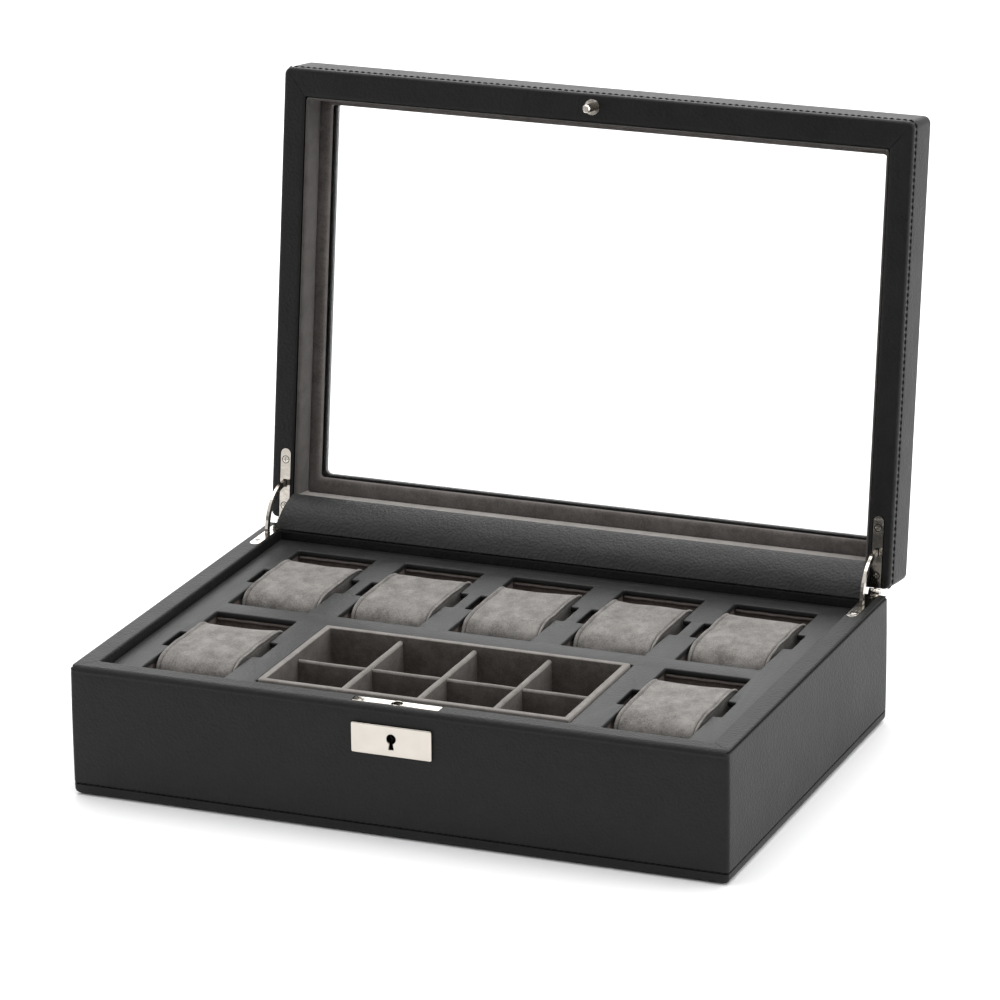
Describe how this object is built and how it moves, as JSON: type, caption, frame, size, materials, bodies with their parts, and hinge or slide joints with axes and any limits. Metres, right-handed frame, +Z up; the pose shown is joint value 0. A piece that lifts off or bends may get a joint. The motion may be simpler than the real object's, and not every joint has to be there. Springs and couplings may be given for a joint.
{
  "type": "watch box",
  "caption": "Lidded watch box with a glazed lid, padded watch places, a lift-out divided tray and a front lock.",
  "frame": {"origin": "centre of the underside, on the surface the box stands on", "axes": "+X to the right, +Y to the back where the lid is hinged, +Z up; the lid stands open at rest"},
  "size_m": [0.352, 0.3096, 0.314],
  "materials": {
    "leather": "fine-grained black leatherette over board",
    "suede": "grey ultrasuede",
    "suede_dark": "brown-grey ultrasuede in shade",
    "nickel": "polished nickel plate",
    "steel": "plain steel inside the lock",
    "glass": "clear float glass",
    "board": "fibreboard, hidden",
    "felt": "black felt",
    "foam": "foam sheet, hidden"
  },
  "bodies": {
    "case": {"case_wall_front": "leather", "case_wall_rear": "leather", "case_wall_right": "leather", "case_wall_left": "leather", "underside_felt": "felt", "bottom_board": "board", "foam_underlay": "foam", "insert_panel": "leather", "insert_block": "board", "well_liner_rear_1": "suede_dark", "well_liner_rear_2": "suede_dark", "well_liner_rear_3": "suede_dark", "well_liner_rear_4": "suede_dark", "well_liner_rear_5": "suede_dark", "well_liner_front_1": "suede_dark", "well_liner_front_2": "suede_dark", "keyhole_plate": "nickel", "lock_top_plate": "nickel", "lock_case": "steel", "key_post": "steel", "spine_strip": "leather", "hinge_left_case_leaf": "nickel", "hinge_left_pin": "steel", "screw_left_case_1": "nickel", "screw_left_case_2": "nickel", "hinge_right_case_leaf": "nickel", "hinge_right_pin": "steel", "screw_right_case_1": "nickel", "screw_right_case_2": "nickel"},
    "lid": {"lid_rail_front": "leather", "lid_rail_rear": "leather", "lid_rail_right": "leather", "lid_rail_left": "leather", "lid_top_frame": "leather", "lid_glass": "glass", "lid_lining": "suede", "lid_glass_bead": "suede_dark", "lid_stud": "nickel", "hinge_left_lid_leaf": "nickel", "screw_left_lid_1": "nickel", "screw_left_lid_2": "nickel", "hinge_right_lid_leaf": "nickel", "screw_right_lid_1": "nickel", "screw_right_lid_2": "nickel"},
    "stay_left": {"hinge_left_stay": "nickel"},
    "stay_right": {"hinge_right_stay": "nickel"},
    "bolt": {"lock_bolt": "steel"},
    "tray": {"tray_box": "suede", "tray_divider_1": "suede", "tray_divider_2": "suede", "tray_divider_3": "suede", "tray_cross_divider": "suede"},
    "cushion_rear_1": {"cushion_rear_1": "suede"},
    "cushion_rear_2": {"cushion_rear_2": "suede"},
    "cushion_rear_3": {"cushion_rear_3": "suede"},
    "cushion_rear_4": {"cushion_rear_4": "suede"},
    "cushion_rear_5": {"cushion_rear_5": "suede"},
    "cushion_front_1": {"cushion_front_1": "suede"},
    "cushion_front_2": {"cushion_front_2": "suede"}
  },
  "joints": [
    {"name": "lid_hinge", "type": "hinge", "parent": "case", "child": "lid", "pos_m": [0, 0.1242, 0.0695], "axis": [1, 0, 0], "range_deg": [0, 97.3], "deforming": ["spine_strip"]},
    {"name": "stay_left_swing", "type": "hinge", "parent": "case", "child": "stay_left", "pos_m": [0, 0.1242, 0.0695], "axis": [1, 0, 0], "range_deg": [0, 48.65]},
    {"name": "stay_right_swing", "type": "hinge", "parent": "case", "child": "stay_right", "pos_m": [0, 0.1242, 0.0695], "axis": [1, 0, 0], "range_deg": [0, 48.65]},
    {"name": "bolt_throw", "type": "slide", "parent": "case", "child": "bolt", "axis": [1, 0, 0], "range_m": [0, 0.007]},
    {"name": "tray_seat", "type": "slide", "parent": "case", "child": "tray", "axis": [0, 0, -1], "range_m": [-0.06, 0]},
    {"name": "cushion_rear_1_seat", "type": "slide", "parent": "case", "child": "cushion_rear_1", "axis": [0, 0, -1], "range_m": [-0.06, 0]},
    {"name": "cushion_rear_2_seat", "type": "slide", "parent": "case", "child": "cushion_rear_2", "axis": [0, 0, -1], "range_m": [-0.06, 0]},
    {"name": "cushion_rear_3_seat", "type": "slide", "parent": "case", "child": "cushion_rear_3", "axis": [0, 0, -1], "range_m": [-0.06, 0]},
    {"name": "cushion_rear_4_seat", "type": "slide", "parent": "case", "child": "cushion_rear_4", "axis": [0, 0, -1], "range_m": [-0.06, 0]},
    {"name": "cushion_rear_5_seat", "type": "slide", "parent": "case", "child": "cushion_rear_5", "axis": [0, 0, -1], "range_m": [-0.06, 0]},
    {"name": "cushion_front_1_seat", "type": "slide", "parent": "case", "child": "cushion_front_1", "axis": [0, 0, -1], "range_m": [-0.06, 0]},
    {"name": "cushion_front_2_seat", "type": "slide", "parent": "case", "child": "cushion_front_2", "axis": [0, 0, -1], "range_m": [-0.06, 0]}
  ],
  "couplings": [
    {"joint": "stay_left_swing", "follows": "lid_hinge", "ratio": 0.5},
    {"joint": "stay_right_swing", "follows": "lid_hinge", "ratio": 0.5}
  ]
}
